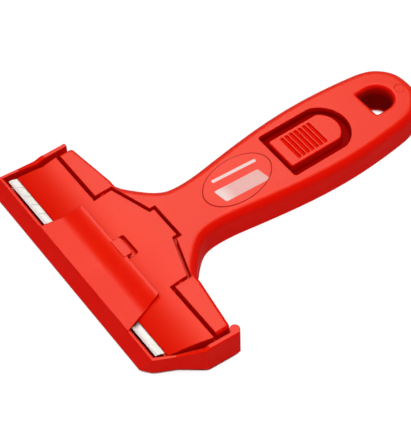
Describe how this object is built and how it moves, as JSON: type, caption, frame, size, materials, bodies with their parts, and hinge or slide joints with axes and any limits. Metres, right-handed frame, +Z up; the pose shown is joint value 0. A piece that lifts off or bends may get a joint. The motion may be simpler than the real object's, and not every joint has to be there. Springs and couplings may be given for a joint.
{
  "type": "hand scraper",
  "caption": "T-shaped moulded hand scraper: wide blade under a clamp plate, thumb slider that locks the clamp, hanging hole and a lift-off blade guard.",
  "frame": {"origin": "middle of the tool's width at the blade's front edge, on the plane of the blade's underside", "axes": "+X from the cutting edge to the handle's end, +Z up, away from the flat underside that it rests on"},
  "size_m": [0.1602, 0.1161, 0.014],
  "materials": {
    "body_red": "satin moulded",
    "cover_red": "fine texture",
    "screw_steel": "plated",
    "blade_steel": "ground edge",
    "label_film": "clear film",
    "plate_red": "satin moulded",
    "slider_red": "satin moulded",
    "bar_plastic": "plain",
    "guard_red": "satin moulded"
  },
  "bodies": {
    "handle": {"handle_body": "body_red", "bottom_cover": "cover_red", "cover_screws": "screw_steel", "blade": "blade_steel", "label": "label_film"},
    "clamp": {"clamp_plate": "plate_red"},
    "lock": {"thumb_slider": "slider_red", "lock_bar": "bar_plastic"},
    "guard": {"blade_guard": "guard_red"}
  },
  "joints": [
    {"name": "lock_slide", "type": "slide", "parent": "handle", "child": "lock", "axis": [1, 0, 0], "range_m": [0, 0.002]},
    {"name": "clamp_tilt", "type": "hinge", "parent": "handle", "child": "clamp", "pos_m": [0.024, 0, 0.0036], "axis": [0, 1, 0], "range_deg": [0, 0.7]},
    {"name": "guard_lift", "type": "slide", "parent": "handle", "child": "guard", "axis": [0, 0, 1], "range_m": [0, 0.03]}
  ],
  "couplings": [
    {"joint": "clamp_tilt", "follows": "lock_slide", "rad_per_m": 6.1}
  ]
}
